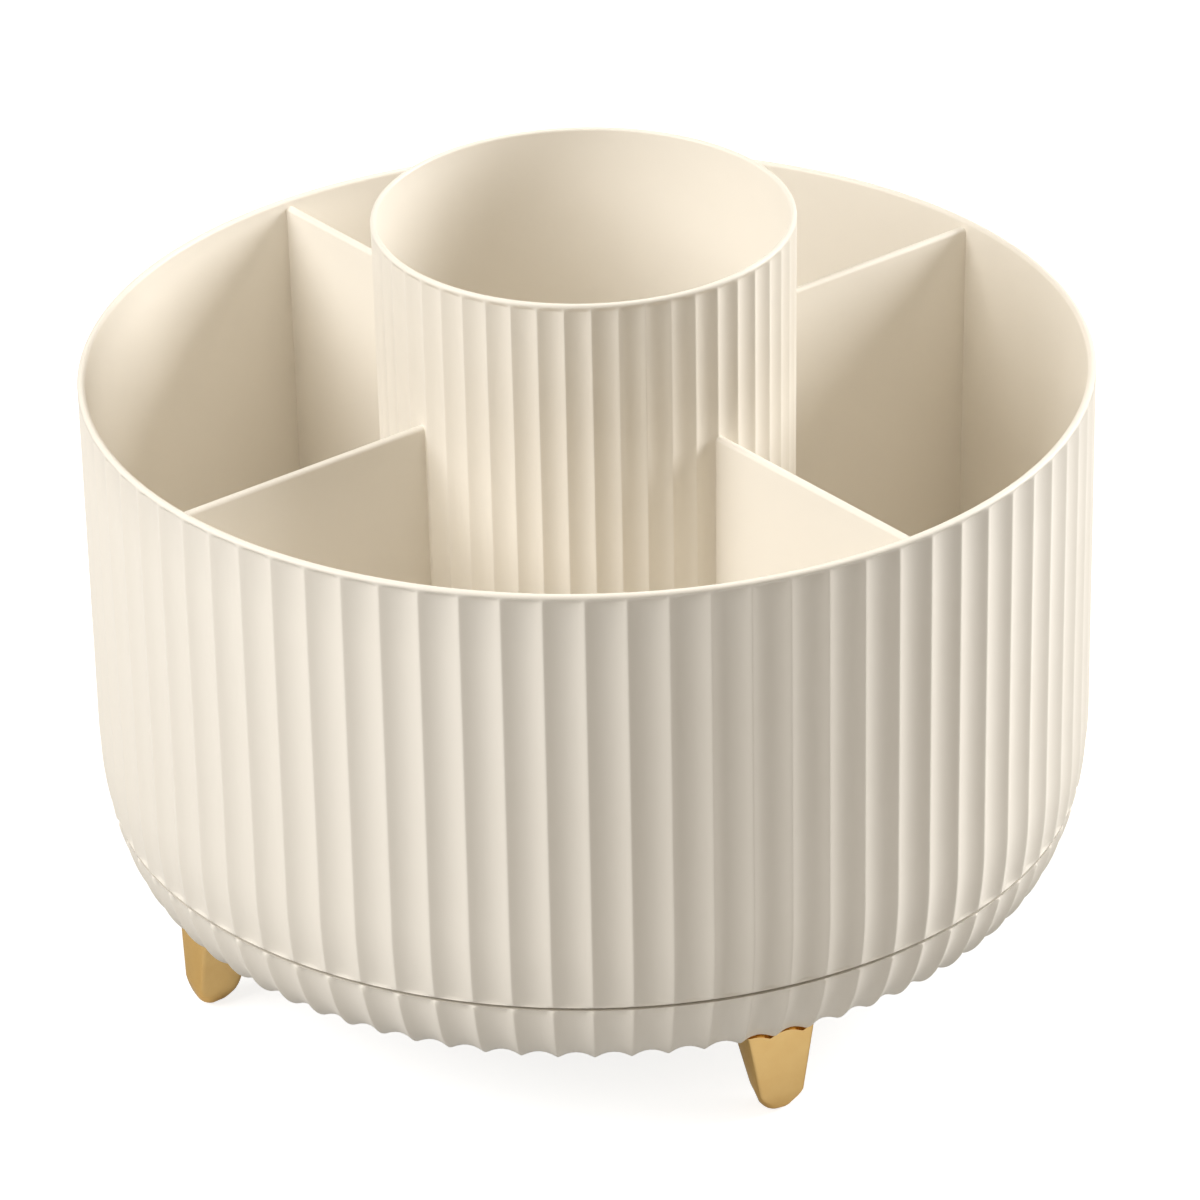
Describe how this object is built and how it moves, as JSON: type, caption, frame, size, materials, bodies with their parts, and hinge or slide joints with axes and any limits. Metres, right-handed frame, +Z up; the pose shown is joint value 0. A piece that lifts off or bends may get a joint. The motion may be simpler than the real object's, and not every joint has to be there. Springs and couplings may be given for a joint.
{
  "type": "lazy susan desk organizer",
  "caption": "Rotating round desk organizer: a fluted drum with open compartments around a tall centre cup, turning on balls over a footed base.",
  "frame": {"origin": "centre of the plane that the four foot tips rest on, on the turning axis", "axes": "+Z up along the turning axis; -Y towards the viewer of the product's front, +X to its right"},
  "size_m": [0.16, 0.16, 0.125],
  "materials": {
    "cream_plastic": "injection-moulded ABS in warm cream, satin outside with fine vertical flutes, smooth inside",
    "gold_plating": "ABS electroplated in polished light gold",
    "nylon_cage": "natural nylon, slightly waxy",
    "polished_steel": "ground and polished bearing steel",
    "zinc_steel": "bright zinc-plated steel"
  },
  "bodies": {
    "base": {"base_tray": "cream_plastic", "front_right_foot": "gold_plating", "rear_right_foot": "gold_plating", "rear_left_foot": "gold_plating", "front_left_foot": "gold_plating", "foot_screws": "zinc_steel"},
    "drum": {"tub": "cream_plastic", "divider_insert": "cream_plastic", "spindle_washer": "zinc_steel", "spindle_screw": "zinc_steel"},
    "cage": {"ball_cage": "nylon_cage"},
    "rolling_ball_01": {"ball_01": "polished_steel"},
    "rolling_ball_02": {"ball_02": "polished_steel"},
    "rolling_ball_03": {"ball_03": "polished_steel"},
    "rolling_ball_04": {"ball_04": "polished_steel"},
    "rolling_ball_05": {"ball_05": "polished_steel"},
    "rolling_ball_06": {"ball_06": "polished_steel"},
    "rolling_ball_07": {"ball_07": "polished_steel"},
    "rolling_ball_08": {"ball_08": "polished_steel"},
    "rolling_ball_09": {"ball_09": "polished_steel"},
    "rolling_ball_10": {"ball_10": "polished_steel"},
    "rolling_ball_11": {"ball_11": "polished_steel"},
    "rolling_ball_12": {"ball_12": "polished_steel"}
  },
  "joints": [
    {"name": "drum_spin", "type": "hinge", "parent": "base", "child": "drum", "pos_m": [0, 0, 0.0235], "axis": [0, 0, 1], "continuous": true},
    {"name": "cage_spin", "type": "hinge", "parent": "base", "child": "cage", "pos_m": [0, 0, 0.024], "axis": [0, 0, 1], "continuous": true},
    {"name": "ball_01_roll", "type": "hinge", "parent": "cage", "child": "rolling_ball_01", "pos_m": [0, -0.05, 0.024], "axis": [0, -1, 0], "continuous": true},
    {"name": "ball_02_roll", "type": "hinge", "parent": "cage", "child": "rolling_ball_02", "pos_m": [0.025, -0.0433, 0.024], "axis": [0.5, -0.866, 0], "continuous": true},
    {"name": "ball_03_roll", "type": "hinge", "parent": "cage", "child": "rolling_ball_03", "pos_m": [0.0433, -0.025, 0.024], "axis": [0.866, -0.5, 0], "continuous": true},
    {"name": "ball_04_roll", "type": "hinge", "parent": "cage", "child": "rolling_ball_04", "pos_m": [0.05, 0, 0.024], "axis": [1, 0, 0], "continuous": true},
    {"name": "ball_05_roll", "type": "hinge", "parent": "cage", "child": "rolling_ball_05", "pos_m": [0.0433, 0.025, 0.024], "axis": [0.866, 0.5, 0], "continuous": true},
    {"name": "ball_06_roll", "type": "hinge", "parent": "cage", "child": "rolling_ball_06", "pos_m": [0.025, 0.0433, 0.024], "axis": [0.5, 0.866, 0], "continuous": true},
    {"name": "ball_07_roll", "type": "hinge", "parent": "cage", "child": "rolling_ball_07", "pos_m": [0, 0.05, 0.024], "axis": [0, 1, 0], "continuous": true},
    {"name": "ball_08_roll", "type": "hinge", "parent": "cage", "child": "rolling_ball_08", "pos_m": [-0.025, 0.0433, 0.024], "axis": [-0.5, 0.866, 0], "continuous": true},
    {"name": "ball_09_roll", "type": "hinge", "parent": "cage", "child": "rolling_ball_09", "pos_m": [-0.0433, 0.025, 0.024], "axis": [-0.866, 0.5, 0], "continuous": true},
    {"name": "ball_10_roll", "type": "hinge", "parent": "cage", "child": "rolling_ball_10", "pos_m": [-0.05, 0, 0.024], "axis": [-1, 0, 0], "continuous": true},
    {"name": "ball_11_roll", "type": "hinge", "parent": "cage", "child": "rolling_ball_11", "pos_m": [-0.0433, -0.025, 0.024], "axis": [-0.866, -0.5, 0], "continuous": true},
    {"name": "ball_12_roll", "type": "hinge", "parent": "cage", "child": "rolling_ball_12", "pos_m": [-0.025, -0.0433, 0.024], "axis": [-0.5, -0.866, 0], "continuous": true}
  ],
  "couplings": [
    {"joint": "cage_spin", "follows": "drum_spin", "ratio": 0.5},
    {"joint": "ball_01_roll", "follows": "drum_spin", "ratio": -8.3333},
    {"joint": "ball_02_roll", "follows": "drum_spin", "ratio": -8.3333},
    {"joint": "ball_03_roll", "follows": "drum_spin", "ratio": -8.3333},
    {"joint": "ball_04_roll", "follows": "drum_spin", "ratio": -8.3333},
    {"joint": "ball_05_roll", "follows": "drum_spin", "ratio": -8.3333},
    {"joint": "ball_06_roll", "follows": "drum_spin", "ratio": -8.3333},
    {"joint": "ball_07_roll", "follows": "drum_spin", "ratio": -8.3333},
    {"joint": "ball_08_roll", "follows": "drum_spin", "ratio": -8.3333},
    {"joint": "ball_09_roll", "follows": "drum_spin", "ratio": -8.3333},
    {"joint": "ball_10_roll", "follows": "drum_spin", "ratio": -8.3333},
    {"joint": "ball_11_roll", "follows": "drum_spin", "ratio": -8.3333},
    {"joint": "ball_12_roll", "follows": "drum_spin", "ratio": -8.3333}
  ]
}
